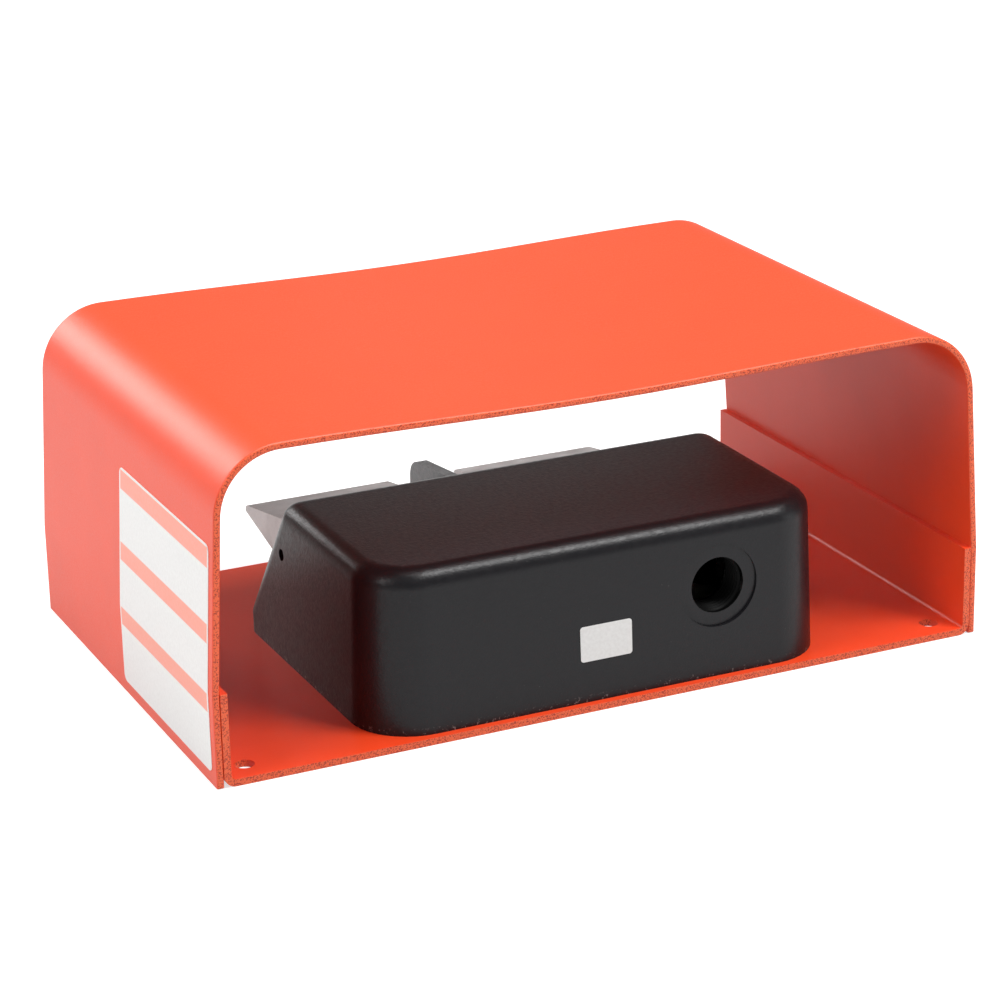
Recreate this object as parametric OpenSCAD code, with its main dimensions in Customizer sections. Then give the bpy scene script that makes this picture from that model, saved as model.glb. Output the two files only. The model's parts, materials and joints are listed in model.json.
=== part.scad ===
// Two-pedal foot switch in a formed steel guard, in millimetres.
// The floor is z = 0. The operator's foot comes in from -Y and the wiring leaves at +Y.

/* [Guard] */
// Outer width of the guard over its upright flanges
guard_w = 318.3; // [300:0.1:345]
// Depth of the guard from its front opening to its rear opening
guard_d = 198.7; // [196:0.1:230]
// Height of the guard
guard_h = 126.3; // [110:0.1:150]
// Thickness of the guard's coated sheet steel
guard_t = 2.8; // [2.6:0.1:4]
// Outer radius of the guard's two upper bends
guard_r = 26; // [18:0.5:32]
// Inward lean of the side walls above the flanges, in degrees
guard_lean = 3.4; // [0.5:0.1:5]
// Dip of the middle of the guard's top
guard_sag = 2.1; // [0.5:0.1:4]
// Height of the base plate's upright flanges
flange_h = 36.2; // [24:0.1:48]
// Inner radius of the base plate's bends
base_bend_r = 1.7; // [1:0.1:5]

/* [Floor holes] */
// Diameter of the four floor holes
floor_hole_d = 7.5; // [5:0.1:10]
// Distance of a floor hole's centre from the guard's side
floor_hole_side = 14.5; // [13:0.1:20]
// Distance of a floor hole's centre from the guard's open edge
floor_hole_edge = 11; // [8:0.1:20]

/* [Housing] */
// Width of the housing across its foot
housing_w = 192.8; // [188:0.1:204]
// Depth of the housing along its foot
housing_d = 133.9; // [131:0.1:142]
// Height of the housing above the base plate
housing_h = 63.7; // [62:0.1:72]
// Distance from the guard's rear edge to the housing
housing_setback = 3.1; // [1:0.1:8]
// Wall thickness of the casting
housing_wall = 3.2; // [2.8:0.1:3.8]
// Draft of the upright walls, in degrees
housing_draft = 1.75; // [0.5:0.05:2.5]
// Radius of the two upright rear corners at the foot
rear_corner_r = 24.1; // [18:0.1:30]
// Radius of the two upright front corners at the foot
front_corner_r = 10.6; // [10:0.1:14]
// Radius along the top edges
top_edge_r = 7.7; // [5:0.1:8.4]
// Slope of the front face from the upright, in degrees
front_slope = 35.3; // [33:0.1:38]
// Height of the upright lip under the sloping front
lip_h = 8.1; // [7:0.1:10]
// Radius where the lip turns into the slope
lip_r = 4.5; // [4:0.1:6]

/* [Bottom cover] */
// Width of the casting's rim round the cover
rim_w = 4.4; // [3.6:0.1:6]
// Width of the ledge that the cover closes against
ledge_w = 5; // [4:0.1:7]
// Thickness of the ledge
ledge_t = 3.4; // [2.5:0.1:5]
// Thickness of the cover plate
cover_t = 2; // [1.8:0.1:2.4]
// Thickness of the gasket
gasket_t = 1.5; // [0.8:0.1:2]
// Thread diameter of the cover screws
cover_screw_d = 4; // [3:0.5:4.5]
// Length of the cover screws
cover_screw_l = 10; // [8:0.5:12]

/* [Guard screws] */
// Thread diameter of the screws that hold the housing to the guard
guard_screw_d = 5; // [4:0.5:6]
// Length of the guard screws
guard_screw_l = 16; // [14:0.5:18]
// Distance of the rear guard screws from the housing's sides and rear
rear_screw_inset = 16.1; // [15:0.1:18]
// Distance of the front guard screws from the housing's sides and front
front_screw_inset = 11.9; // [11:0.1:13]

/* [Conduit entry] */
// Diameter of the conduit entry
entry_d = 22.2; // [16:0.1:24]
// Diameter of the flat spot round the entry
entry_spot_d = 33; // [30:0.1:36]
// Distance of the entry's centre from the housing's side on the operator's left
entry_side = 50.3; // [45:0.1:56]
// Height of the entry's centre above the base plate
entry_h = 36.4; // [33:0.1:39]
// Length of the entry's threaded boss
entry_boss_l = 14.4; // [10:0.1:18]

/* [Pivot] */
// Height of the pivot pin above the base plate
pivot_h = 43.1; // [42:0.1:44.5]
// Distance of the pivot pin behind the housing's front edge
pivot_back = 40.5; // [40:0.1:43]
// Diameter of the pivot pin
pin_d = 4.76; // [4:0.01:6]
// Outer diameter of the pedal bushes
bush_d = 8; // [7:0.1:9]
// Diameter of the bush collars
bush_collar_d = 11; // [10:0.1:13]
// Thickness of the bush collars
bush_collar_t = 1; // [0.8:0.1:1.5]

/* [Pedals] */
// Distance of each pedal's outer edge from the housing's side
pedal_side = 17.9; // [17:0.1:22]
// Gap between the two pedals
pedal_gap = 31; // [29:0.1:34]
// Thickness of the pedals' sheet steel
pedal_t = 2; // [1.5:0.1:2.5]
// Slope of the treadle faces at rest, in degrees
pedal_tilt = 10; // [8:0.5:11]
// Reach of the pedals in front of the pivot pin, along the treadle
pedal_reach = 85.3; // [80:0.1:95]
// Height of the treadle face above the pivot pin's centre, square to the face
treadle_lift = 5.6; // [5:0.1:6]
// Outer radius of the treadle's rounded nose
nose_r = 2.5; // [2.3:0.1:4]
// Depth of the side flanges' heel below the pivot pin, square to the treadle face
heel_drop = 19; // [17:0.1:21]
// Travel of the pedals, in degrees
pedal_travel = 8; // [6:0.5:8]

/* [Divider] */
// Thickness of the fin between the pedals
fin_t = 5; // [4:0.1:6]
// Reach of the fin in front of the housing's front edge
fin_reach = 49.1; // [40:0.1:54]
// Height of the fin's top edge above the base plate at its front end
fin_front_h = 40.7; // [36:0.1:44]
// Rise of the fin's top edge towards the housing, in degrees
fin_rise = 6.3; // [4:0.1:9]
// Radius of the fin's top front corner
fin_corner_r = 8.6; // [4:0.1:10]
// Height of the fin's lower edge above the base plate
fin_low_h = 11.5; // [9:0.1:16]
// Width of the fin's foot plate on the sloping front
fin_foot_w = 20; // [18:0.1:21]
// Thickness of the fin's foot plate
fin_foot_t = 4; // [3.5:0.1:5]

/* [Return springs] */
// Outer diameter of a return spring
spring_d = 13; // [12:0.1:14]
// Wire diameter of a return spring
spring_wire = 1.5; // [1.2:0.05:1.7]
// Number of turns of a return spring
spring_turns = 7; // [6:1:8]
// Distance of the return springs in front of the pivot pin
spring_front = 22.9; // [22:0.1:24]

/* [Switches] */
// Length of a switch case
switch_l = 49.2; // [47:0.1:51]
// Depth of a switch case, from its plunger face to its terminal face
switch_d = 24.2; // [23.5:0.1:26]
// Height of a switch case, with its lid
switch_h = 17.5; // [16:0.1:19]
// Depth of the plunger's axis below the pivot pin
lever_drop = 18; // [17.5:0.1:19]
// Diameter of the plunger's button
plunger_d = 7; // [6:0.1:8]
// Distance that the plunger stands out of its case at rest
plunger_out = 7.2; // [6:0.1:8.2]
// Distance between the two mounting holes of a switch
switch_pitch = 25.4; // [24:0.1:27]

/* [Labels] */
// Width of the blank label on the guard
guard_label_w = 97; // [80:0.5:98]
// Height of the blank label on the guard
guard_label_h = 86; // [60:0.5:88]
// Width of the blank label on the housing
housing_label_w = 21.5; // [15:0.1:26]
// Height of the blank label on the housing
housing_label_h = 14; // [10:0.1:18]

/* [Hidden] */
$fn = 48;

// Clearances and small allowances that many pieces share
run_gap = 0.3;
pin_play = 0.05;
seat_play = 0.02;
screw_play = 0.1;
overrun = 5;
sliver = 0.1;
hole_spare = 1.5;
label_t = 0.2;

// Levels and sides of the guard and housing
base_z = guard_t;
rear_y = guard_d / 2 - housing_setback;
front_y = rear_y - housing_d;
half_w = housing_w / 2;
top_z = base_z + housing_h;
roof_z = top_z - housing_wall;
draft_run = tan(housing_draft);
function side_x(z) = half_w - (z - base_z) * draft_run;
function rear_face_y(z) = rear_y - (z - base_z) * draft_run;

// The sloping front is the line through the lip's and the top edge's rounds
lip_z = base_z + lip_h;
slope_c = cos(front_slope) * -(front_y + lip_r) + sin(front_slope) * lip_z + lip_r;
function slope_y(z, depth) = (sin(front_slope) * z - slope_c + depth) / cos(front_slope);
function slope_z(y, depth) = (cos(front_slope) * y + slope_c - depth) / sin(front_slope);
top_round_z = top_z - top_edge_r;
top_round_y = slope_y(top_round_z, top_edge_r);

// Levels of the bottom cover
cover_z = base_z + run_gap;
gasket_z = cover_z + cover_t;
ledge_z = gasket_z + gasket_t;
ledge_top = ledge_z + ledge_t;
front_chamfer_share = 2.2;
rear_chamfer_share = 2.1;
front_chamfer = front_screw_inset * front_chamfer_share;
rear_chamfer = rear_screw_inset * rear_chamfer_share;
cover_gap = 0.4;
cover_boss_r = 5;
cover_boss_top = cover_z + cover_screw_l + 2 * hole_spare;
cover_boss_in = 6.5;
cover_screw_side_shares = [0.35, 0.72];
cover_screw_head_r = 3.6;
rim_x = half_w - rim_w;
rim_front = front_y + rim_w;
rim_rear = rear_y - rim_w;
function along_rim(share) = rim_front + share * (rim_rear - rim_front);
cover_screw_spots = [
    for (side = [-1, 1], share = cover_screw_side_shares)
        [side * (rim_x - cover_boss_in), along_rim(share)],
    [0, rim_front + cover_boss_in],
    [0, rim_rear - cover_boss_in]
];

// Guard screws go up through the base plate into the casting's four corners
guard_boss_r = 5.5;
guard_screw_head_r = 4.8;
guard_screw_sink = 0.25;
guard_boss_top = guard_screw_sink + guard_screw_l + 2 * hole_spare;
guard_screw_spots = [
    for (side = [-1, 1]) each [
        [side * (half_w - rear_screw_inset), rear_y - rear_screw_inset],
        [side * (half_w - front_screw_inset), front_y + front_screw_inset]
    ]
];

// Conduit entry
entry_offset = half_w - entry_side;
entry_z = base_z + entry_h;
entry_spot_y = rear_face_y(entry_z + entry_spot_d / 2) - run_gap;
entry_boss_r = entry_d / 2 + housing_wall;

// Pivot
pivot_y = front_y + pivot_back;
pivot_z = base_z + pivot_h;
pin_r = pin_d / 2;
pin_bore_r = pin_r + pin_play;
pin_recess = 2.5;
pin_half = side_x(pivot_z) - pin_recess;
pin_boss_r = 6;
pin_boss_l = 6;
pin_boss_x = side_x(pivot_z) - housing_wall - pin_boss_l;
web_t = 6;
web_drop = 8;
web_back = 12;
clip_t = 1.2;
clip_r = 5;
groove_depth = 0.45;
spacer_r = 4;
bush_r = bush_d / 2;
bush_collar_r = bush_collar_d / 2;
bush_inner_l = 3;

// Pedals, drawn from the pivot pin with the treadle level
pedal_w = half_w - pedal_side - pedal_gap / 2;
pedal_x = (pedal_gap + pedal_w) / 2;
ear_r = 8;
treadle_rear = 6.5;
heel_s = 34;
nose_n = treadle_lift - nose_r;
heel_n = -heel_drop;
nose_steps = 8;
under_n = treadle_lift - pedal_t;
function under_z(y) = (under_n / cos(pedal_tilt)) + (y * tan(pedal_tilt));
function pedal_point(s, n, turn) = [
    pivot_y - s * cos(pedal_tilt + turn) - n * sin(pedal_tilt + turn),
    pivot_z - s * sin(pedal_tilt + turn) + n * cos(pedal_tilt + turn)
];

// Each pedal opening ends on the flanges' lower edge at full travel and on the treadle at rest
nose_down = pedal_point(pedal_reach, nose_n, pedal_travel);
heel_down = pedal_point(heel_s, heel_n, pedal_travel);
down_slope = (nose_down.y - heel_down.y) / (nose_down.x - heel_down.x);
function flange_down_z(y) = heel_down.y + (y - heel_down.x) * down_slope;
sill_z = min([
    for (depth = [0, housing_wall])
        flange_down_z(max(front_y + depth, slope_y(heel_down.y, depth)))
]) - run_gap;
face_over_pivot = pivot_z + treadle_lift / cos(pedal_tilt) + run_gap;
opening_top = (face_over_pivot + (slope_y(0, housing_wall) - pivot_y) * tan(pedal_tilt))
    / (1 - tan(front_slope) * tan(pedal_tilt));
opening_side = 1.5;

// Actuator legs, from the pivot pin
leg_w = 16;
leg_t = 3;
leg_back = 7.9;
leg_foot = 4.5;
leg_tip = 6;
// Way of the leg's rear face, at the plunger's axis, over the pedal's travel
pedal_throw = leg_back * (1 - cos(pedal_travel))
    + (lever_drop - leg_back * sin(pedal_travel)) * tan(pedal_travel);

// Return springs and their seats
spring_y = pivot_y - spring_front;
spring_r = (spring_d - spring_wire) / 2;
pad_w = 18;
pad_back = 11;
stud_play = 1.5;
stud_r = spring_d / 2 - spring_wire - stud_play;
stud_h = 4;
cup_r = 7;
cup_drop = 4.9;
cup_z = pivot_z - cup_drop;
spring_low = ledge_top + spring_wire / 2 + run_gap / 2;
spring_high = cup_z - spring_wire / 2 - run_gap / 2;
end_coil_gap = 0.6;
end_pitch = spring_wire + end_coil_gap;
ring_steps = 8;
tube_sides = 6;

// Switches
switch_z = pivot_z - lever_drop;
leg_face_y = pivot_y - leg_back;
plunger_tip_y = leg_face_y + run_gap;
switch_front = plunger_tip_y + plunger_out;
switch_rear = switch_front + switch_d;
switch_top = switch_z + switch_h / 2;
switch_low = switch_z - switch_h / 2;
case_wall = 2;
lid_t = 2;
plunger_play = 0.05;
plunger_collar_r = 5;
plunger_collar_t = 2;
plunger_stem_r = 1.5;
switch_screw_d = 4;
switch_screw_back = 16.5;
switch_boss_r = 3.1;
switch_screw_y = switch_front + switch_screw_back;
switch_screw_head_r = 3.5;
switch_screw_head_h = 2.6;
post_r = 4.5;
post_thread = 8;
blade_back = 9.5;
blade_t = 0.4;
blade_h = 5;
blade_pin_x = 18;
blade_tip_x = 16.9;
blade_y = switch_front + blade_back;
contact_x = 14.5;
contact_r = 1.5;
contact_t = 0.5;
blade_throw = 0.8;
bar_t = 1;
bar_w = 5;
tab_out = 9;
closed_bar_x = 19.9;
open_bar_x = 6.8;
common_bar_x = 19;
terminal_screw_d = 3;
terminal_head_r = 2.7;
terminal_head_h = 2;
terminal_screw_y = switch_rear + tab_out / 2;
terminal_shank = 3;

// Ground screw
ground_inset = 26;
ground_y = rear_y - ground_inset;
ground_boss_r = 4.5;
ground_boss_l = 12;
ground_screw_d = 4;
ground_head_r = 4.2;
ground_head_h = 3;
ground_thread = 9;

// Divider screws go out through the sloping front into the fin's foot
fin_foot_rise = 10;
fin_foot_over_pin = 4;
fin_foot_low = base_z + fin_foot_rise;
fin_foot_high = pivot_z + fin_foot_over_pin;
divider_screw_x = 6.4;
divider_screw_rows = [0.24, 0.62];
divider_screw_d = 3;
divider_screw_l = 6.4;
divider_head_r = 2.7;
divider_head_h = 1.8;

guard_colour = "#f0562f";
black_colour = "#2c2a2c";
pedal_colour = "#a89f9b";
zinc_colour = "#b9bcc0";
brass_colour = "#b8924a";

// Extrudes a section drawn in X and Z along the depth of the part
module along_depth(depth) {
    rotate([90, 0, 0]) linear_extrude(height = depth, center = true) children();
}

// Extrudes a section drawn in Y and Z along the width of the part
module along_width(width) {
    rotate([90, 0, 90]) linear_extrude(height = width, center = true) children();
}

function arc(centre, r, from, to, steps) = [
    for (i = [0:steps]) let (a = from + (to - from) * i / steps)
        centre + r * [cos(a), sin(a)]
];
function backwards(list) = [for (i = [len(list) - 1:-1:0]) list[i]];

// The guard's section at a depth inside its outer face: wall, bend, sagging top, bend, wall
bend_z = guard_h - guard_r;
function kink_z(depth) = flange_h + (guard_t - depth) * tan(guard_lean / 2);
bend_x = guard_w / 2 - (bend_z - kink_z(0)) * tan(guard_lean) - guard_r / cos(guard_lean);
bend_steps = 20;
top_steps = 16;
function top_line(x, depth) = guard_h - depth - guard_sag * (1 + cos(180 * x / bend_x)) / 2;
function guard_half(depth) = concat(
    [
        [guard_w / 2 - depth, 0],
        [guard_w / 2 - depth, kink_z(depth)]
    ],
    arc([bend_x, bend_z], guard_r - depth, guard_lean, 90, bend_steps)
);
function guard_line(depth) = concat(
    guard_half(depth),
    [
        for (i = [1:top_steps - 1]) let (x = bend_x * (1 - 2 * i / top_steps))
            [x, top_line(x, depth)]
    ],
    [for (p = backwards(guard_half(depth))) [-p.x, p.y]]
);

module guard_shield() {
    color(guard_colour) along_depth(guard_d)
        polygon(concat(guard_line(0), backwards(guard_line(guard_t))));
}

// The base plate's section at a depth inside its outer face: flange, bend, floor, bend, flange
flange_x = guard_w / 2 - guard_t;
base_outer_r = base_bend_r + guard_t;
function base_half(depth) = concat(
    [[flange_x - depth, flange_h]],
    arc([flange_x - base_outer_r, base_outer_r], base_outer_r - depth, 0, -90, 8)
);
function base_line(depth) = concat(
    base_half(depth),
    [for (p = backwards(base_half(depth))) [-p.x, p.y]]
);

// A hole up through a sheet, countersunk at 45 degrees from the sheet's lower face at z = 0
module countersunk_hole(d, head_r, sheet_t) {
    depth = head_r - d / 2;
    translate([0, 0, -overrun]) cylinder(d = d, h = sheet_t + 2 * overrun);
    cylinder(r1 = head_r, r2 = d / 2, h = depth);
    translate([0, 0, -overrun]) cylinder(r = head_r, h = overrun);
}

module guard_base() {
    hole_x = guard_w / 2 - floor_hole_side;
    hole_y = guard_d / 2 - floor_hole_edge;
    color(guard_colour) difference() {
        along_depth(guard_d) polygon(concat(base_line(0), backwards(base_line(guard_t))));
        for (x = [-hole_x, hole_x], y = [-hole_y, hole_y])
            translate([x, y, -overrun]) cylinder(d = floor_hole_d, h = guard_t + 2 * overrun);
        for (spot = guard_screw_spots)
            translate([spot.x, spot.y, 0])
                countersunk_hole(
                    guard_screw_d + 2 * screw_play,
                    guard_screw_head_r + guard_screw_sink + screw_play, guard_t
                );
    }
}

module rounded_plate(w, h, r) {
    for (x = [-1, 1], y = [-1, 1])
        translate([x * (w / 2 - r), y * (h / 2 - r)]) circle(r = r);
    square([w, h - 2 * r], center = true);
    square([w - 2 * r, h], center = true);
}

// A blank sheet that follows the guard's wall and its lean
module guard_label() {
    label_low = 5;
    label_edge = 4.5;
    corner_r = 3;
    middle = [guard_d / 2 - label_edge - guard_label_w / 2, label_low + guard_label_h / 2];
    function wall_x(z) = guard_w / 2 - max(0, z - kink_z(0)) * tan(guard_lean);
    ends = [0, kink_z(0), label_low + guard_label_h + overrun];
    outline = concat(
        [for (z = ends) [wall_x(z), z]],
        [for (z = backwards(ends)) [wall_x(z) + label_t, z]]
    );
    color("#f4f2ee") intersection() {
        along_depth(2 * guard_d) polygon(outline);
        translate([guard_w / 2, 0, 0]) along_width(guard_r)
            translate(middle) rounded_plate(guard_label_w, guard_label_h, corner_r);
    }
}

// A tube bent into a level ring, whose outside has the radius r
module ring(r, tube_r) {
    rotate_extrude($fn = 40) intersection() {
        translate([r - tube_r, 0]) circle(r = tube_r, $fn = 32);
        translate([0, -tube_r]) square([r, 2 * tube_r]);
    }
}

// A disc whose top edge is drawn in, so that only its foot counts in a hull
module corner_disc(r) {
    cylinder(r1 = r, r2 = r - sliver, h = sliver, $fn = 40);
}

// The casting's body at a depth inside its outer faces
module housing_form(depth, low_z) {
    top_drop = (top_round_z - base_z) * draft_run;
    low_drop = (low_z - base_z) * draft_run;
    hull() for (side = [-1, 1]) {
        translate([side * (half_w - rear_corner_r), rear_y - rear_corner_r, 0]) {
            translate([0, 0, low_z]) corner_disc(rear_corner_r - low_drop - depth);
            translate([0, 0, top_round_z])
                ring(rear_corner_r - top_drop - depth, top_edge_r - depth);
        }
        translate([side * (half_w - front_corner_r), front_y + front_corner_r, 0]) {
            translate([0, 0, low_z]) corner_disc(front_corner_r - depth);
            translate([0, 0, lip_z]) ring(front_corner_r - depth, lip_r - depth);
        }
        front_top_r = front_corner_r - top_drop;
        translate([
            side * (half_w - front_corner_r),
            top_round_y + front_top_r - top_edge_r,
            top_round_z
        ]) ring(front_top_r - depth, top_edge_r - depth);
    }
}

// Outline of the cover's recess, drawn in by a depth on every side
module rim_outline(depth) {
    x = rim_x - depth;
    low = rim_front + depth;
    high = rim_rear - depth;
    polygon([
        [front_chamfer - x, low], [x - front_chamfer, low],
        [x, low + front_chamfer], [x, high - rear_chamfer],
        [x - rear_chamfer, high], [rear_chamfer - x, high],
        [-x, high - rear_chamfer], [-x, low + front_chamfer]
    ]);
}

module ledge_spots(r) {
    for (spot = cover_screw_spots) translate(spot) circle(r = r);
}

module housing_bosses() {
    for (spot = cover_screw_spots)
        translate([spot.x, spot.y, ledge_z]) cylinder(r = cover_boss_r, h = cover_boss_top - ledge_z);
    for (spot = guard_screw_spots)
        translate([spot.x, spot.y, ledge_z]) cylinder(r = guard_boss_r, h = guard_boss_top - ledge_z);
    // Conduit entry
    translate([-entry_offset, entry_spot_y - entry_boss_l, entry_z]) rotate([-90, 0, 0])
        cylinder(r = entry_boss_r, h = entry_boss_l - housing_wall / 4);
    // Bearings of the pivot pin in the side walls and in the middle web
    for (side = [-1, 1])
        translate([side * pin_boss_x, pivot_y, pivot_z]) rotate([0, side * 90, 0])
            cylinder(r = pin_boss_r, h = pin_boss_l + housing_wall / 2);
    web_low = pivot_z - web_drop;
    web_high = roof_z + housing_wall / 2;
    along_width(web_t) polygon([
        [slope_y(web_low, housing_wall / 2), web_low],
        [pivot_y + web_back, web_low],
        [pivot_y + web_back, web_high],
        [slope_y(web_high, housing_wall / 2), web_high]
    ]);
    // Posts of the switches
    for (side = [-1, 1], end = [-1, 1])
        translate([side * pedal_x + end * switch_pitch / 2, switch_screw_y, switch_top])
            cylinder(r = post_r, h = roof_z + housing_wall / 2 - switch_top);
    // Ground boss
    translate([0, ground_y, roof_z - ground_boss_l])
        cylinder(r = ground_boss_r, h = ground_boss_l + housing_wall / 2);
    // Pads under the return springs
    for (side = [-1, 1]) {
        translate([side * pedal_x - pad_w / 2, rim_front, ledge_z])
            cube([pad_w, spring_y + pad_back - rim_front, ledge_t]);
    }
}

module pedal_opening(side) {
    w = pedal_w + 2 * opening_side;
    translate([side * pedal_x - w / 2, front_y - overrun, sill_z])
        cube([w, slope_y(opening_top, housing_wall) - front_y + 2 * overrun, opening_top - sill_z]);
}

module housing() {
    color(black_colour) {
        difference() {
            union() {
                difference() {
                    housing_form(0, base_z);
                    housing_form(housing_wall, ledge_top);
                    translate([0, 0, base_z - overrun])
                        linear_extrude(height = ledge_top - base_z + 2 * overrun)
                            rim_outline(ledge_w);
                    translate([0, 0, base_z - overrun])
                        linear_extrude(height = ledge_z - base_z + overrun) rim_outline(0);
                }
                housing_bosses();
            }
            for (side = [-1, 1]) pedal_opening(side);
            for (spot = cover_screw_spots)
                translate([spot.x, spot.y, base_z])
                    cylinder(d = cover_screw_d + 2 * screw_play, h = cover_boss_top - base_z - hole_spare);
            for (spot = guard_screw_spots)
                translate([spot.x, spot.y, 0])
                    cylinder(d = guard_screw_d + 2 * screw_play, h = guard_boss_top - hole_spare);
            translate([-entry_offset, entry_spot_y - entry_boss_l - overrun, entry_z])
                rotate([-90, 0, 0]) cylinder(d = entry_d, h = entry_boss_l + 2 * overrun);
            translate([-entry_offset, entry_spot_y, entry_z])
                rotate([-90, 0, 0]) cylinder(d = entry_spot_d, h = overrun);
            translate([0, pivot_y, pivot_z]) rotate([0, 90, 0])
                cylinder(r = pin_bore_r, h = housing_w + 2 * overrun, center = true);
            for (side = [-1, 1], end = [-1, 1])
                translate([side * pedal_x + end * switch_pitch / 2, switch_screw_y, switch_top])
                    cylinder(d = switch_screw_d + 2 * screw_play, h = post_thread + hole_spare);
            translate([0, ground_y, roof_z - ground_boss_l - overrun])
                cylinder(d = ground_screw_d + 2 * screw_play, h = ground_thread + overrun + hole_spare);
            for (spot = divider_spots) divider_place(spot)
                translate([0, 0, -housing_wall - overrun])
                    cylinder(d = divider_screw_d + 2 * screw_play, h = housing_wall + 2 * overrun);
        }
        for (side = [-1, 1])
            translate([side * pedal_x, spring_y, ledge_top - sliver])
                cylinder(r = stud_r, h = stud_h + sliver);
    }
}

// A blank sheet on the drafted rear face
module housing_label() {
    corner_r = 1.2;
    label_x = 1.8;
    label_z = 26.1;
    color("#f1f1ef") translate([label_x, rear_face_y(label_z), label_z])
        rotate([-90 + housing_draft, 0, 0])
            linear_extrude(height = label_t)
                rounded_plate(housing_label_w, housing_label_h, corner_r);
}

module bottom_cover() {
    color(zinc_colour) translate([0, 0, cover_z]) difference() {
        linear_extrude(height = cover_t) rim_outline(cover_gap);
        for (spot = cover_screw_spots) translate([spot.x, spot.y, 0])
            countersunk_hole(
                cover_screw_d + 2 * screw_play, cover_screw_head_r + 2 * screw_play, cover_t
            );
    }
}

module cover_gasket() {
    color("#3a3a3a") translate([0, 0, gasket_z]) linear_extrude(height = gasket_t) difference() {
        union() {
            difference() {
                rim_outline(cover_gap);
                rim_outline(ledge_w);
            }
            ledge_spots(cover_boss_r);
        }
        ledge_spots(cover_screw_d / 2 + screw_play);
    }
}

// A flat-head screw, point up, with its head's face at z = 0 and a cross recess in it
module flat_head_screw(d, head_r, l) {
    cone_h = head_r - d / 2;
    slot_w = d / 5;
    slot_depth = cone_h * 0.6;
    difference() {
        union() {
            cylinder(r1 = head_r, r2 = d / 2, h = cone_h);
            cylinder(d = d, h = l);
        }
        for (turn = [0, 90]) rotate(turn)
            cube([head_r * 1.1, slot_w, 2 * slot_depth], center = true);
    }
}

// A pan-head screw, point up, with its head's seat at z = 0 and a cross recess in it
module pan_head_screw(d, head_r, head_h, l) {
    slot_w = d / 5;
    slot_depth = head_h * 0.5;
    round_r = head_h * 0.45;
    difference() {
        union() {
            cylinder(d = d, h = l);
            translate([0, 0, -head_h]) rotate_extrude() polygon(concat(
                [[0, 0]],
                arc([head_r - round_r, round_r], round_r, -90, 0, 6),
                [[head_r, head_h], [0, head_h]]
            ));
        }
        for (turn = [0, 90]) rotate(turn)
            translate([0, 0, -head_h]) cube([head_r * 1.2, slot_w, 2 * slot_depth], center = true);
    }
}

module cover_screws() {
    color(zinc_colour) for (spot = cover_screw_spots)
        translate([spot.x, spot.y, cover_z + screw_play])
            flat_head_screw(cover_screw_d, cover_screw_head_r, cover_screw_l);
}

module guard_screws() {
    color(zinc_colour) for (spot = guard_screw_spots)
        translate([spot.x, spot.y, guard_screw_sink])
            flat_head_screw(guard_screw_d, guard_screw_head_r, guard_screw_l);
}

// Rows of divider screws up the sloping front, as heights on its outer face
divider_spots = [
    for (x = [-divider_screw_x, divider_screw_x], share = divider_screw_rows)
        let (z = fin_foot_low + share * (fin_foot_high - fin_foot_low))
            [x, slope_y(z, 0), z]
];

// Puts a child, drawn along +Z, square out of the sloping front at a spot
module divider_place(spot) {
    translate(spot) rotate([90 - front_slope, 0, 0]) children();
}

// A fin with rounded top front corner, on a foot plate that lies on the sloping front
module pedal_divider() {
    fin_front = front_y - fin_reach;
    fin_low = base_z + fin_low_h;
    fin_top_z = base_z + fin_front_h;
    round_z = fin_top_z - fin_corner_r;
    round_y = fin_front + fin_corner_r;
    reach_z = fin_foot_high + fin_foot_t;
    top_start = arc([round_y, round_z], fin_corner_r, 180, 90 + fin_rise, 12);
    tangent = top_start[len(top_start) - 1];
    // The top edge rises from the corner's round until it meets the sloping front
    run = (slope_y(tangent.y, 0) - tangent.x) / (1 - tan(fin_rise) * tan(front_slope));
    meet = [tangent.x + run, tangent.y + run * tan(fin_rise)];
    color(black_colour) difference() {
        union() {
            along_width(fin_t) polygon(concat(
                [[fin_front, fin_low]], top_start, [meet], [[slope_y(fin_low, 0), fin_low]]
            ));
            along_width(fin_foot_w) polygon([
                [slope_y(fin_foot_low + fin_foot_t, 0), fin_foot_low + fin_foot_t],
                [slope_y(fin_foot_high, 0), fin_foot_high],
                [slope_y(fin_foot_high, -fin_foot_t), fin_foot_high],
                [slope_y(fin_foot_low + fin_foot_t, -fin_foot_t), fin_foot_low + fin_foot_t]
            ]);
        }
        for (spot = divider_spots) divider_place(spot) translate([0, 0, -overrun]) cylinder(
            d = divider_screw_d + 2 * screw_play,
            h = overrun + divider_screw_l - housing_wall + sliver
        );
    }
}

module divider_screws() {
    color(zinc_colour) for (spot = divider_spots) divider_place(spot)
        translate([0, 0, -housing_wall - screw_play])
            pan_head_screw(divider_screw_d, divider_head_r, divider_head_h, divider_screw_l);
}

module pivot_pin() {
    chamfer = pin_r / 4;
    clip_x = pin_boss_x - run_gap - clip_t;
    outline = [
        [0, -pin_half], [pin_r - chamfer, -pin_half], [pin_r, chamfer - pin_half],
        [pin_r, -clip_x - clip_t], [pin_r - groove_depth, -clip_x - clip_t],
        [pin_r - groove_depth, -clip_x], [pin_r, -clip_x],
        [pin_r, clip_x], [pin_r - groove_depth, clip_x],
        [pin_r - groove_depth, clip_x + clip_t], [pin_r, clip_x + clip_t],
        [pin_r, pin_half - chamfer], [pin_r - chamfer, pin_half], [0, pin_half]
    ];
    color(zinc_colour) translate([0, pivot_y, pivot_z]) rotate([0, 90, 0])
        rotate_extrude() polygon(outline);
}

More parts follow.
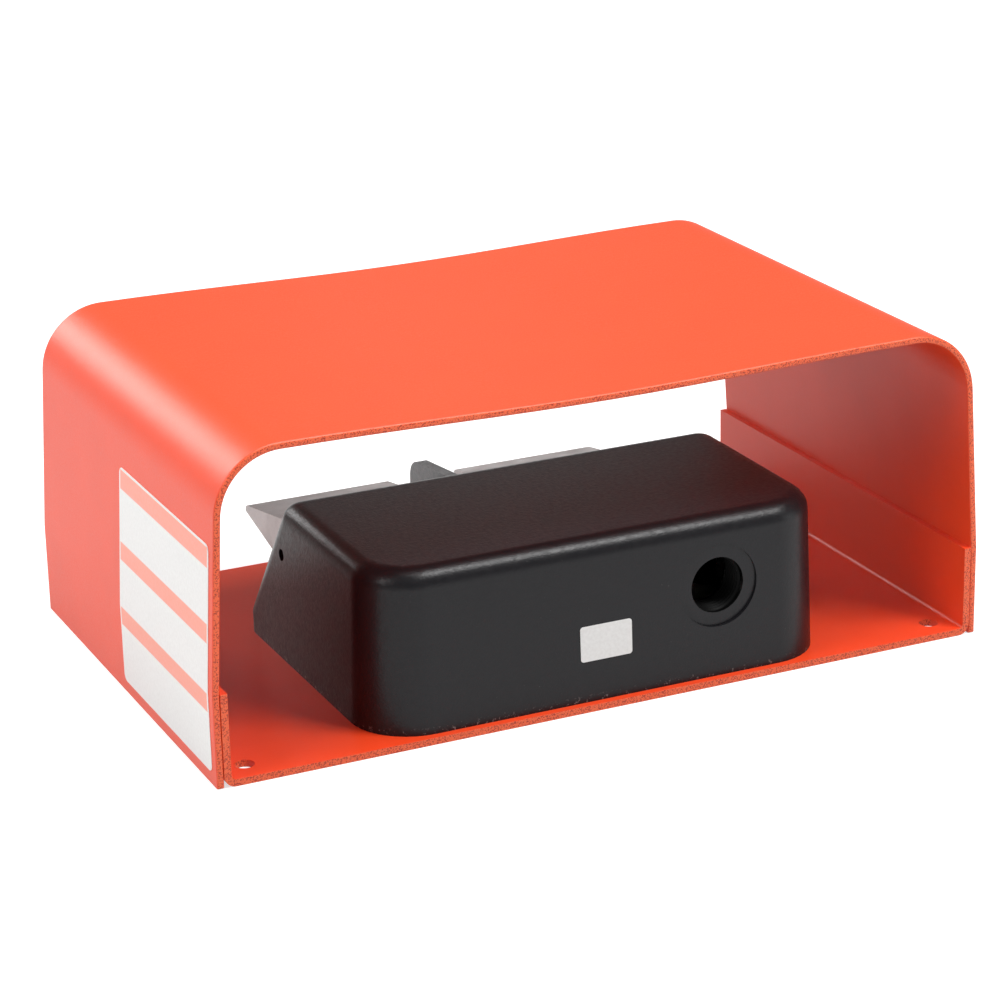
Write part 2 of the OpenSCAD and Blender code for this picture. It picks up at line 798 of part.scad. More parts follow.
// A tube round the pivot pin between two distances from the middle
module sleeve(from, to, outer_r, inner_r) {
    translate([from, pivot_y, pivot_z]) rotate([0, 90, 0]) difference() {
        cylinder(r = outer_r, h = to - from);
        translate([0, 0, -overrun]) cylinder(r = inner_r, h = to - from + 2 * overrun);
    }
}

pedal_inner_x = pedal_gap / 2;
pedal_outer_x = pedal_inner_x + pedal_w;

module pin_spacers() {
    color(zinc_colour) for (side = [0, 1]) mirror([side, 0, 0]) {
        sleeve(web_t / 2 + run_gap, pedal_inner_x - bush_collar_t - run_gap, spacer_r, pin_bore_r);
        sleeve(
            pedal_outer_x + bush_collar_t + run_gap,
            pin_boss_x - 2 * run_gap - clip_t,
            spacer_r, pin_bore_r
        );
    }
}

// Open rings snapped into the pin's grooves, beside the side bearings
module pin_clips() {
    mouth = groove_depth * 6;
    clip_x = pin_boss_x - run_gap - clip_t;
    color("#6b6e72") for (side = [0, 1]) mirror([side, 0, 0]) difference() {
        sleeve(clip_x + seat_play, clip_x + clip_t - seat_play, clip_r, pin_r - groove_depth + seat_play);
        translate([clip_x - overrun, pivot_y - mouth / 2, pivot_z - clip_r - overrun])
            cube([clip_t + 2 * overrun, mouth, clip_r + overrun]);
    }
}

nose_arc = arc([nose_r - pedal_reach, nose_n], nose_r, 90, 180, nose_steps);

// Puts a child, drawn from the pivot pin with the treadle level, at one pedal
module pedal_place(side) {
    translate([side * pedal_x, pivot_y, pivot_z]) rotate([pedal_tilt, 0, 0]) children();
}

module treadle(side) {
    inner_arc = arc([nose_r - pedal_reach, nose_n], nose_r - pedal_t, 180, 90, nose_steps);
    flange = concat(
        [[0, treadle_lift]], nose_arc,
        [[-heel_s, heel_n], [0, -ear_r]]
    );
    color(pedal_colour) pedal_place(side) {
        along_width(pedal_w) polygon(concat(
            [[-treadle_rear, treadle_lift]], nose_arc, inner_arc, [[-treadle_rear, under_n]]
        ));
        for (edge = [-1, 1]) translate([edge * (pedal_w - pedal_t) / 2, 0, 0]) difference() {
            union() {
                along_width(pedal_t) polygon(flange);
                rotate([0, 90, 0]) cylinder(r = ear_r, h = pedal_t, center = true);
            }
            rotate([0, 90, 0]) cylinder(r = bush_r + seat_play, h = pedal_t + overrun, center = true);
        }
    }
}

// A collared sleeve in each ear, with its collar on the outside of the ear
module bush() {
    difference() {
        union() {
            translate([0, 0, -pedal_t - bush_inner_l]) cylinder(r = bush_r, h = pedal_t + bush_inner_l);
            cylinder(r = bush_collar_r, h = bush_collar_t);
        }
        translate([0, 0, -pedal_t - bush_inner_l - overrun])
            cylinder(r = pin_bore_r, h = pedal_t + bush_inner_l + bush_collar_t + 2 * overrun);
    }
}

module bushes(side) {
    color(brass_colour) for (edge = [-1, 1])
        translate([side * pedal_x + edge * pedal_w / 2, pivot_y, pivot_z])
            rotate([0, edge * 90, 0]) bush();
}

// A bent leg welded under the treadle, whose rear face pushes the switch
module actuator(side) {
    front = -leg_back - leg_t;
    foot = front - leg_foot;
    low = -lever_drop - leg_tip;
    color(zinc_colour) translate([side * pedal_x, pivot_y, pivot_z]) along_width(leg_w) polygon([
        [-leg_back, low], [-leg_back, under_z(-leg_back)],
        [foot, under_z(foot)], [foot, under_z(foot) - leg_t],
        [front, under_z(front) - leg_t], [front, low]
    ]);
}

module spring_cup(side) {
    y = spring_y - pivot_y;
    low = cup_z - pivot_z;
    color(zinc_colour) translate([side * pedal_x, pivot_y, pivot_z]) {
        intersection() {
            translate([0, y, low]) cylinder(r = cup_r, h = under_z(y + cup_r) - low + overrun);
            along_width(2 * cup_r + overrun) polygon([
                [y - cup_r - overrun, low], [y + cup_r + overrun, low],
                [y + cup_r + overrun, under_z(y + cup_r + overrun)],
                [y - cup_r - overrun, under_z(y - cup_r - overrun)]
            ]);
        }
        translate([0, y, low - stud_h * 0.75]) cylinder(r = stud_r, h = stud_h * 0.75 + sliver);
    }
}

// The wire's centre line climbs at the end pitch for one turn at each end, and evenly between
function spring_climb(turn) =
    let (middle = (spring_high - spring_low - 2 * end_pitch) / (spring_turns - 2))
    spring_low + min(turn, 1) * end_pitch
        + max(0, min(turn, spring_turns - 1) - 1) * middle
        + max(0, turn - spring_turns + 1) * end_pitch;
spring_rings = spring_turns * ring_steps;
function spring_centre(i) = let (a = 360 * i / ring_steps) [
    spring_r * cos(a), spring_r * sin(a), spring_climb(i / ring_steps)
];
spring_path = [for (i = [0:spring_rings]) spring_centre(i)];
function unit(v) = v / norm(v);
function spring_ring(i) =
    let (
        before = spring_path[max(i - 1, 0)],
        after = spring_path[min(i + 1, spring_rings)],
        outward = [cos(360 * i / ring_steps), sin(360 * i / ring_steps), 0],
        across = unit(cross(unit(after - before), outward))
    )
    [
        for (k = [0:tube_sides - 1]) let (b = 360 * k / tube_sides)
            spring_path[i] + spring_wire / 2 * (cos(b) * outward + sin(b) * across)
    ];
spring_points = [for (i = [0:spring_rings]) each spring_ring(i)];
spring_skin = [
    for (i = [0:spring_rings - 1], k = [0:tube_sides - 1])
        let (
            a = i * tube_sides + k,
            b = i * tube_sides + (k + 1) % tube_sides,
            c = b + tube_sides,
            d = a + tube_sides
        )
        each [[a, b, c], [a, c, d]]
];
spring_last = spring_rings * tube_sides;
spring_caps = [
    for (k = [1:tube_sides - 2])
        each [[0, k + 1, k], [spring_last, spring_last + k, spring_last + k + 1]]
];
spring_self_gap = min([
    for (i = [0:spring_rings], j = [0:spring_rings])
        if (j - i > ring_steps / 2) norm(spring_path[j] - spring_path[i])
]) - spring_wire;
echo(str("A return spring's least gap to itself is ", spring_self_gap, " mm"));

module return_spring(side) {
    color("#9ea2a6") translate([side * pedal_x, spring_y, 0])
        polyhedron(points = spring_points, faces = concat(spring_skin, spring_caps));
}

// Puts a child, drawn with the plunger's axis through the origin, at one switch's front face
module switch_place(side) {
    translate([side * pedal_x, switch_front, switch_z]) children();
}

module switch_screw_holes(h) {
    for (end = [-1, 1])
        translate([end * switch_pitch / 2, switch_screw_back, -h])
            cylinder(d = switch_screw_d + 2 * screw_play, h = 2 * h);
}

// The case's terminals leave through slots in its rear wall
bar_spots = [-closed_bar_x, -open_bar_x, common_bar_x];

module switch_case(side) {
    low = lid_t - switch_h / 2;
    high = switch_h / 2;
    color("#4a4038") switch_place(side) difference() {
        union() {
            difference() {
                translate([-switch_l / 2, 0, low]) cube([switch_l, switch_d, high - low]);
                translate([case_wall - switch_l / 2, case_wall, low - overrun]) cube([
                    switch_l - 2 * case_wall, switch_d - 2 * case_wall,
                    high - low - case_wall + overrun
                ]);
            }
            for (end = [-1, 1]) translate([end * switch_pitch / 2, switch_screw_back, low])
                cylinder(r = switch_boss_r, h = high - low - case_wall / 2);
        }
        rotate([-90, 0, 0]) translate([0, 0, -overrun])
            cylinder(r = plunger_d / 2 + plunger_play, h = case_wall + 2 * overrun);
        for (x = bar_spots)
            translate([x - bar_w / 2 - seat_play, switch_d - case_wall - overrun, -bar_t / 2 - seat_play])
                cube([bar_w + 2 * seat_play, case_wall + 2 * overrun, bar_t + 2 * seat_play]);
        switch_screw_holes(switch_h);
    }
}

module switch_lid(side) {
    color("#5a4e44") switch_place(side) difference() {
        translate([-switch_l / 2, 0, -switch_h / 2]) cube([switch_l, switch_d, lid_t]);
        switch_screw_holes(switch_h);
    }
}

// A round-ended button with a collar behind the case's wall and a stem that meets the blade
module plunger(side) {
    collar_at = plunger_out + case_wall + run_gap;
    stem_end = plunger_out + blade_back - pedal_throw - 2 * run_gap;
    dome_h = plunger_d / 6;
    dome_r = (pow(plunger_d / 2, 2) + pow(dome_h, 2)) / (2 * dome_h);
    dome_turn = asin(plunger_d / 2 / dome_r);
    color("#8e2f22") translate([side * pedal_x, plunger_tip_y, switch_z]) rotate([-90, 0, 0])
        rotate_extrude() polygon(concat(
            arc([0, dome_r], dome_r, -90, dome_turn - 90, 6),
            [
                [plunger_d / 2, collar_at],
                [plunger_collar_r, collar_at],
                [plunger_collar_r, collar_at + plunger_collar_t],
                [plunger_stem_r, collar_at + plunger_collar_t],
                [plunger_stem_r, stem_end],
                [0, stem_end]
            ]
        ));
}

module contact_blade(side) {
    color("#c9a35c") switch_place(side) {
        translate([-blade_tip_x, blade_back, -blade_h / 2])
            cube([blade_tip_x + blade_pin_x, blade_t, blade_h]);
        translate([-contact_x, blade_back + blade_t / 2, 0]) rotate([90, 0, 0])
            cylinder(r = contact_r, h = blade_t + 2 * contact_t, center = true);
    }
}

module bar(x, from) {
    translate([x - bar_w / 2, from, -bar_t / 2])
        cube([bar_w, switch_d + tab_out - from, bar_t]);
}

module terminals(side) {
    closed_face = blade_back - contact_t - run_gap;
    open_face = blade_back + blade_t + contact_t + blade_throw + run_gap;
    color(brass_colour) switch_place(side) difference() {
        union() {
            // Closed contact: round the blade's tip to its front side
            bar(-closed_bar_x, closed_face - bar_t - contact_t);
            translate([-closed_bar_x, closed_face - bar_t - contact_t, -bar_t / 2])
                cube([closed_bar_x - contact_x + contact_r, bar_t, bar_t]);
            translate([-contact_x, closed_face, 0]) rotate([90, 0, 0])
                cylinder(r = contact_r, h = contact_t + bar_t / 2);
            // Open contact: behind the blade
            bar(-open_bar_x, open_face + contact_t);
            translate([-contact_x - contact_r, open_face + contact_t, -bar_t / 2])
                cube([contact_x - open_bar_x + contact_r, bar_t, bar_t]);
            translate([-contact_x, open_face, 0]) rotate([-90, 0, 0])
                cylinder(r = contact_r, h = contact_t + bar_t / 2);
            // Common: a post that holds the blade's fixed end
            bar(common_bar_x, blade_back + blade_t + run_gap);
            translate([common_bar_x - bar_w / 2, blade_back + blade_t + run_gap, -blade_h / 2])
                cube([bar_w, bar_t, blade_h]);
        }
        for (x = bar_spots) translate([x, switch_d + tab_out / 2, -overrun])
            cylinder(d = terminal_screw_d + 2 * screw_play, h = 2 * overrun);
    }
}

module terminal_screws() {
    color(zinc_colour) for (side = [-1, 1], x = bar_spots)
        translate([side * pedal_x + x, terminal_screw_y, switch_z - bar_t / 2])
            pan_head_screw(terminal_screw_d, terminal_head_r, terminal_head_h, terminal_shank);
}

module switch_screws() {
    color(zinc_colour) for (side = [-1, 1], end = [-1, 1])
        translate([side * pedal_x + end * switch_pitch / 2, switch_screw_y, switch_low])
            pan_head_screw(
                switch_screw_d, switch_screw_head_r, switch_screw_head_h, switch_h + post_thread
            );
}

// A hexagon-head screw, point up, with a washer between its head and the boss
module ground_screw() {
    washer_t = ground_head_h / 3;
    color("#4f8a4c") translate([0, ground_y, roof_z - ground_boss_l]) {
        translate([0, 0, -washer_t]) cylinder(r = ground_head_r + washer_t, h = washer_t);
        translate([0, 0, -washer_t - ground_head_h]) cylinder(r = ground_head_r, h = ground_head_h, $fn = 6);
        translate([0, 0, -washer_t]) cylinder(d = ground_screw_d, h = ground_thread + washer_t);
    }
}

guard_shield();
guard_base();
guard_label();
housing();
housing_label();
bottom_cover();
cover_gasket();
cover_screws();
guard_screws();
pedal_divider();
divider_screws();
pivot_pin();
pin_spacers();
pin_clips();
treadle(-1);  // left_treadle
treadle(1);  // right_treadle
bushes(-1);  // left_bushes
bushes(1);  // right_bushes
actuator(-1);  // left_actuator
actuator(1);  // right_actuator
spring_cup(-1);  // left_spring_cup
spring_cup(1);  // right_spring_cup
return_spring(-1);  // left_return_spring
return_spring(1);  // right_return_spring
switch_case(-1);  // left_switch_case
switch_case(1);  // right_switch_case
switch_lid(-1);  // left_switch_lid
switch_lid(1);  // right_switch_lid
plunger(-1);  // left_plunger
plunger(1);  // right_plunger
contact_blade(-1);  // left_contact_blade
contact_blade(1);  // right_contact_blade
terminals(-1);  // left_terminals
terminals(1);  // right_terminals
terminal_screws();
switch_screws();
ground_screw();
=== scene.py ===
# %% [markdown]
# # A two-pedal foot switch under a steel guard
# This lesson dresses a foot switch that was first built as exact solids.
# The solids arrive as a fixed frame, in metres, with +Z up and -Y towards the operator.
# Each step says what a piece or a finish is on the real object, and how it is made here.

# %% Load the solids
import json
import math

import bpy
import numpy as np
from mathutils import Matrix, Vector


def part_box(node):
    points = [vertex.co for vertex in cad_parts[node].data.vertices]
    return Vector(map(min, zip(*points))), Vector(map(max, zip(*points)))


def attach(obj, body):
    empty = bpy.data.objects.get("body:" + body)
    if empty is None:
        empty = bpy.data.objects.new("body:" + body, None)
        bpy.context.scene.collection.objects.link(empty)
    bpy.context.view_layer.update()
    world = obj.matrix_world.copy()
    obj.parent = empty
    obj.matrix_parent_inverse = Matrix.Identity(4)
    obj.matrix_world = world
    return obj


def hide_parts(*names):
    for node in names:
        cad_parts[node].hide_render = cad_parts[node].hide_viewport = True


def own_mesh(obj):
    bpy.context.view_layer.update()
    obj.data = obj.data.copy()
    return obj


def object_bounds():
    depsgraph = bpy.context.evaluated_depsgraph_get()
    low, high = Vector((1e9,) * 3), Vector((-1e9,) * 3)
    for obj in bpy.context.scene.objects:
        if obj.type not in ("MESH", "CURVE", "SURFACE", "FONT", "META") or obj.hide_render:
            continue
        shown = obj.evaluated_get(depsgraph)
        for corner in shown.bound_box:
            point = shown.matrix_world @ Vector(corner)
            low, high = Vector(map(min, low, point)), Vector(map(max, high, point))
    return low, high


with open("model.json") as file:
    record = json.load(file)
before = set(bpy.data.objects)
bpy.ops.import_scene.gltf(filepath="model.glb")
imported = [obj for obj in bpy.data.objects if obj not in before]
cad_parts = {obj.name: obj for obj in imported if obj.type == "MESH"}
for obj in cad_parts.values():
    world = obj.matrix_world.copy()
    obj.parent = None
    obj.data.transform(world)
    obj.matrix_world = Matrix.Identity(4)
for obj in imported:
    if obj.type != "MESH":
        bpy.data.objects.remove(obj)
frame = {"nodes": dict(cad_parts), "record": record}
cad_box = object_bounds()
scene = bpy.context.scene
nodes = frame["nodes"]
MM = 0.001
print("solids:", len(nodes), "box in mm:", [round(v / MM, 1) for c in cad_box for v in c])

# %% [markdown]
# ## The camera
# A product photograph is taken from far off with a long lens, so that upright lines stay
# nearly parallel. The camera's place and its two axes were solved from the guard's corners.
# A camera looks along its own -Z, so its matrix is made of right, up and backward vectors.

# %% Place the camera
EYE = Vector((0.4931, 1.0779, 0.4779))
RIGHT = Vector((-0.90620, 0.42232, -0.02086)).normalized()
LOOK = Vector((-0.39104, -0.85581, -0.33863)).normalized()
UP = RIGHT.cross(LOOK).normalized()
FOCAL_MM, SENSOR_MM = 114.08, 36.0
NEAREST = 10 * MM

lens = bpy.data.cameras.new("camera")
lens.lens = FOCAL_MM
lens.sensor_width = SENSOR_MM
lens.clip_start = NEAREST
camera = bpy.data.objects.new("camera", lens)
scene.collection.objects.link(camera)
axes = Matrix((RIGHT, UP, -LOOK)).transposed().to_4x4()
camera.matrix_world = Matrix.Translation(EYE) @ axes
scene.camera = camera
print("camera stands", round(EYE.length, 3), "m from the object's foot")

# %% [markdown]
# ## Small tools for meshes
# Every new piece here is a grid of points that numpy works out in one go.
# A grid of rows and columns is joined into four-sided faces by an index table.

# %% Turn arrays into a piece
def grid_faces(rows, cols, close_cols=False):
    """Faces of a grid: point (i, j) joins (i, j+1), (i+1, j+1) and (i+1, j)."""
    strips = cols if close_cols else cols - 1
    i, j = np.meshgrid(np.arange(rows - 1), np.arange(strips), indexing="ij")
    k = (j + 1) % cols
    this_row, next_row = i * cols, (i + 1) * cols
    quads = np.stack([this_row + j, this_row + k, next_row + k, next_row + j], axis=-1)
    return quads.reshape(-1, 4)


def new_piece(name, points, faces, smooth=True):
    """A mesh object at the origin from an array of points and lists of corner numbers."""
    mesh = bpy.data.meshes.new(name)
    corners = np.asarray(points, float).reshape(-1, 3).tolist()
    mesh.from_pydata(corners, [], [list(map(int, face)) for face in faces])
    mesh.polygons.foreach_set("use_smooth", [smooth] * len(mesh.polygons))
    mesh.update()
    piece = bpy.data.objects.new(name, mesh)
    scene.collection.objects.link(piece)
    print(name, "has", len(mesh.vertices), "points")
    return piece


# %% [markdown]
# ## Soft edges
# No sheet or casting has a mathematically sharp edge: paint rounds it, and the round
# catches the light. A Weld joins the solids' loose triangles, a Bevel rounds only the
# edges that turn by more than 35 degrees, and weighted normals keep the flats flat.
# On the base's wide flat, long thin triangles run from hole to hole; they are first
# dissolved into whole faces, so that the bevel leaves no line between the holes.

# %% Round the edges of a solid
WELD_GAP = 0.002 * MM
SHARP_TURN = math.radians(35)
FLAT_TURN = math.radians(0.1)


def soften(piece, radius, segments=3, whole_flats=False):
    """Weld, then a bevel of the given radius on sharp edges, then area-weighted normals.
    whole_flats merges the triangles of each flat before the bevel."""
    weld = piece.modifiers.new("join triangles", "WELD")
    weld.merge_threshold = WELD_GAP
    if whole_flats:
        flats = piece.modifiers.new("whole flats", "DECIMATE")
        flats.decimate_type = "DISSOLVE"
        flats.angle_limit = FLAT_TURN
    edge = piece.modifiers.new("round edges", "BEVEL")
    edge.width = radius
    edge.segments = segments
    edge.limit_method = "ANGLE"
    edge.angle_limit = SHARP_TURN
    edge.use_clamp_overlap = True
    even = piece.modifiers.new("flat normals", "WEIGHTED_NORMAL")
    even.weight = 100
    even.keep_sharp = False
    piece.data.polygons.foreach_set("use_smooth", [True] * len(piece.data.polygons))
    piece.data.update()


EDGE_RADII = {
    "guard_shield": 0.8, "guard_base": 0.8, "housing": 0.7, "pedal_divider": 0.7,
    "left_treadle": 0.35, "right_treadle": 0.35, "left_actuator": 0.4, "right_actuator": 0.4,
    "bottom_cover": 0.3, "pivot_pin": 0.2, "pin_spacers": 0.3, "pin_clips": 0.15,
    "left_bushes": 0.15, "right_bushes": 0.15, "left_spring_cup": 0.3, "right_spring_cup": 0.3,
    "left_switch_case": 0.4, "right_switch_case": 0.4, "left_switch_lid": 0.3,
    "right_switch_lid": 0.3, "left_plunger": 0.15, "right_plunger": 0.15,
    "left_terminals": 0.12, "right_terminals": 0.12, "cover_screws": 0.12,
    "guard_screws": 0.12, "divider_screws": 0.12, "terminal_screws": 0.12,
    "switch_screws": 0.12, "ground_screw": 0.15, "left_contact_blade": 0.08,
    "right_contact_blade": 0.08, "cover_gasket": 0.2, "guard_label": 0.05, "housing_label": 0.05,
}
for node_name, radius in EDGE_RADII.items():
    soften(nodes[node_name], radius * MM, whole_flats=node_name == "guard_base")
print("softened", len(EDGE_RADII), "solids")

# %% [markdown]
# ## Small tools for materials
# A finish is a network of nodes. These helpers add one node each and give back the
# socket that the next one reads. Patterns read Object coordinates, in metres,
# so a grain has its real size on every piece.

# %% Node helpers
NOISE_SPAN = (0.3, 0.7)
FINE = {"detail": 3.0, "rough": 0.6}


def start_finish(name):
    """A new material with an output and one principled shader."""
    mat = bpy.data.materials.new(name)
    mat.use_nodes = True
    tree = mat.node_tree
    tree.nodes.clear()
    out = tree.nodes.new("ShaderNodeOutputMaterial")
    skin = tree.nodes.new("ShaderNodeBsdfPrincipled")
    tree.links.new(skin.outputs["BSDF"], out.inputs["Surface"])
    return mat, tree, skin


def coords(tree, stretch=(1, 1, 1)):
    """Object coordinates, stretched along each axis."""
    place = tree.nodes.new("ShaderNodeTexCoord")
    scaled = tree.nodes.new("ShaderNodeMapping")
    scaled.inputs["Scale"].default_value = stretch
    tree.links.new(place.outputs["Object"], scaled.inputs["Vector"])
    return scaled.outputs["Vector"]


def noise(tree, vector, size, detail=2.0, rough=0.5):
    """Soft noise whose blobs are about the given size in metres; 0.5 on average."""
    node = tree.nodes.new("ShaderNodeTexNoise")
    node.inputs["Scale"].default_value = 1.0 / size
    node.inputs["Detail"].default_value = detail
    node.inputs["Roughness"].default_value = rough
    tree.links.new(vector, node.inputs["Vector"])
    return node.outputs["Fac"]


def remap(tree, value, low, high, to_low=0.0, to_high=1.0):
    """Stretches low..high to to_low..to_high, and stops at both ends."""
    node = tree.nodes.new("ShaderNodeMapRange")
    node.clamp = True
    node.inputs["From Min"].default_value = low
    node.inputs["From Max"].default_value = high
    node.inputs["To Min"].default_value = to_low
    node.inputs["To Max"].default_value = to_high
    tree.links.new(value, node.inputs["Value"])
    return node.outputs["Result"]


def vary(tree, pattern, low, high):
    """A value that goes from low to high over the noise's usual span."""
    return remap(tree, pattern, *NOISE_SPAN, low, high)


def maths(tree, kind, a, b=None):
    """One arithmetic step; a and b are sockets or numbers."""
    node = tree.nodes.new("ShaderNodeMath")
    node.operation = kind
    for slot, value in enumerate((a, b)):
        if value is None:
            continue
        if isinstance(value, (int, float)):
            node.inputs[slot].default_value = value
        else:
            tree.links.new(value, node.inputs[slot])
    return node.outputs["Value"]


def blend_colours(tree, share, first, second):
    """first where share is 0, second where it is 1; each a colour or a socket."""
    node = tree.nodes.new("ShaderNodeMix")
    node.data_type = "RGBA"
    for socket, value in ((node.inputs[6], first), (node.inputs[7], second)):
        if isinstance(value, tuple):
            socket.default_value = (*value, 1.0)
        else:
            tree.links.new(value, socket)
    tree.links.new(share, node.inputs[0])
    return node.outputs[2]


def raise_surface(tree, skin, height, depth, under=None):
    """Bump: height 0..1 stands for a depth in metres; under is a bump to add it to."""
    node = tree.nodes.new("ShaderNodeBump")
    node.inputs["Strength"].default_value = 1.0
    node.inputs["Distance"].default_value = depth
    tree.links.new(height, node.inputs["Height"])
    if under is not None:
        tree.links.new(under, node.inputs["Normal"])
    tree.links.new(node.outputs["Normal"], skin.inputs["Normal"])
    return node.outputs["Normal"]


def split(tree, vector):
    """The three parts of a vector."""
    node = tree.nodes.new("ShaderNodeSeparateXYZ")
    tree.links.new(vector, node.inputs["Vector"])
    return node.outputs["X"], node.outputs["Y"], node.outputs["Z"]


def facing(tree):
    """The surface's own direction in the object's axes."""
    return split(tree, tree.nodes.new("ShaderNodeTexCoord").outputs["Normal"])


# %% [markdown]
# ## Orange powder coat
# The guard is sprayed with dry powder and baked, which leaves an orange peel: bumps
# of half a millimetre to two millimetres, a few hundredths deep. Sheared edges hold
# the powder badly, so they look grainier, with dark and bright specks.
# The edge mask is where the surface faces along the part, forwards or backwards.

# %% Make the guard's coat
ORANGE = (0.87, 0.054, 0.007)
ORANGE_DEEP = (0.46, 0.026, 0.006)
ORANGE_PALE = (0.94, 0.145, 0.045)
EDGE_FACING = (0.55, 0.9)
GRAIN_SIZE, GRAIN_DEPTH = 0.55 * MM, 0.035 * MM
PEEL_SIZE, PEEL_DEPTH = 1.9 * MM, 0.03 * MM
SPECK_SIZE, SPECK_DEPTH = 0.62 * MM, 0.08 * MM
CLOUD_SIZE, CLOUD_SHARE = 25 * MM, 0.10
PALE_GRAIN, PALE_SHARE = (0.35, 0.75), 0.22
PALE_SPECKS = (0.40, 0.50)
GUARD_ROUGHNESS, GUARD_SPECULAR = (0.36, 0.52), 0.55


def guard_coat():
    """Orange peel on the faces; speckle and rougher grain on the cut edges."""
    mat, tree, skin = start_finish("orange_powder_coat")
    place = coords(tree)
    grain = noise(tree, place, GRAIN_SIZE, **FINE)
    peel = noise(tree, place, PEEL_SIZE)
    cloud = noise(tree, place, CLOUD_SIZE)
    _, along, _ = facing(tree)
    cut_edge = remap(tree, maths(tree, "ABSOLUTE", along), *EDGE_FACING)
    shaded = vary(tree, cloud, CLOUD_SHARE, 0.0)
    face_colour = blend_colours(tree, shaded, ORANGE, ORANGE_DEEP)
    lit_grain = remap(tree, grain, *PALE_GRAIN, 0.0, PALE_SHARE)
    face_colour = blend_colours(tree, lit_grain, face_colour, ORANGE_PALE)
    speck = noise(tree, place, SPECK_SIZE, **FINE)
    pale_specks = remap(tree, speck, *PALE_SPECKS)
    speck_colour = blend_colours(tree, pale_specks, ORANGE_DEEP, ORANGE_PALE)
    colour = blend_colours(tree, cut_edge, face_colour, speck_colour)
    tree.links.new(colour, skin.inputs["Base Color"])
    tree.links.new(vary(tree, grain, *GUARD_ROUGHNESS), skin.inputs["Roughness"])
    skin.inputs["Specular IOR Level"].default_value = GUARD_SPECULAR
    fine = raise_surface(tree, skin, grain, GRAIN_DEPTH)
    fine = raise_surface(tree, skin, peel, PEEL_DEPTH, fine)
    raise_surface(tree, skin, maths(tree, "MULTIPLY", speck, cut_edge), SPECK_DEPTH, fine)
    return mat


# %% [markdown]
# ## Black textured coat
# The casting's coat is coarser, nearly black, with a dull sheen that breaks up over
# its grain. Where the casting has been slid about on its lower edges, grey metal
# and dust show through in small specks.

# %% Make the housing's coat
BLACK = (0.0088, 0.0084, 0.0102)
BLACK_WORN = (0.16, 0.15, 0.145)
BORE_PAINTED_SHADE = (0.002, 0.002, 0.002)
CAST_GRAIN_SIZE, CAST_GRAIN_DEPTH = 0.8 * MM, 0.075 * MM
LUMP_SIZE, LUMP_DEPTH = 1.8 * MM, 0.04 * MM
CAST_ROUGHNESS, CAST_SHEEN = (0.30, 0.40), 0.27
CHIP_SIZE, CHIP_SPAN = 1.6 * MM, (0.58, 0.64)
DUST_SIZE, DUST_SPAN, DUST_SHARE = 0.9 * MM, (0.74, 0.80), 0.3
WEAR_HEIGHTS = (3.6 * MM, 6.0 * MM)
ENTRY_X, ENTRY_Z, ENTRY_R = -46.1 * MM, 39.2 * MM, 11.1 * MM
BORE_STARTS = (70 * MM, 71 * MM)
BORE_RIM = (ENTRY_R + 0.05 * MM, ENTRY_R + 0.15 * MM)


def bore_shade_mask(tree, place):
    """1 inside the conduit entry, by the distance from its axis; 0 outside. It places the
    painted shade in the bore.
    """
    x, y, z = split(tree, place)
    across = maths(tree, "POWER", maths(tree, "SUBTRACT", x, ENTRY_X), 2.0)
    upward = maths(tree, "POWER", maths(tree, "SUBTRACT", z, ENTRY_Z), 2.0)
    away = maths(tree, "SQRT", maths(tree, "ADD", across, upward))
    near_wall = remap(tree, away, *BORE_RIM, 1.0, 0.0)
    return maths(tree, "MULTIPLY", near_wall, remap(tree, y, *BORE_STARTS))


def casting_coat(name="black_textured_coat", shade=BLACK, sheen=CAST_SHEEN):
    """Coarse grain everywhere, specks of wear in a band along the foot, and painted shade,
    near black, inside the bore."""
    mat, tree, skin = start_finish(name)
    place = coords(tree)
    grain = noise(tree, place, CAST_GRAIN_SIZE, rough=0.6)
    lumps = noise(tree, place, LUMP_SIZE)
    _, _, height = split(tree, place)
    low_band = remap(tree, height, *WEAR_HEIGHTS, 1.0, 0.0)
    chips = remap(tree, noise(tree, place, CHIP_SIZE, detail=4.0, rough=0.7), *CHIP_SPAN)
    wear = maths(tree, "MULTIPLY", low_band, chips)
    motes = remap(tree, noise(tree, place, DUST_SIZE, rough=0.6), *DUST_SPAN)
    dust = maths(tree, "MULTIPLY", motes, DUST_SHARE)
    colour = blend_colours(tree, maths(tree, "MAXIMUM", wear, dust), shade, BLACK_WORN)
    # Painted shade: the bore's wall is coloured near black, as if little light reached into it.
    colour = blend_colours(tree, bore_shade_mask(tree, place), colour, BORE_PAINTED_SHADE)
    tree.links.new(colour, skin.inputs["Base Color"])
    tree.links.new(vary(tree, lumps, *CAST_ROUGHNESS), skin.inputs["Roughness"])
    skin.inputs["Specular IOR Level"].default_value = sheen
    fine = raise_surface(tree, skin, grain, CAST_GRAIN_DEPTH)
    raise_surface(tree, skin, lumps, LUMP_DEPTH, fine)
    return mat


# %% [markdown]
# ## Treadles, metal and mouldings
# The treadles are plated sheet with a warm grey haze and faint rolling lines.
# Zinc plate is cooler and a little cloudy; the springs are dark drawn wire.
# One function makes all the bare metals, with streaks along a chosen direction.

# %% Make the metals
STREAK_SIZE, METAL_CLOUD_SIZE = 0.6 * MM, 9 * MM
ROUGHNESS_SPREAD, CLOUD_ROUGHNESS = 0.06, (0.05, -0.03)


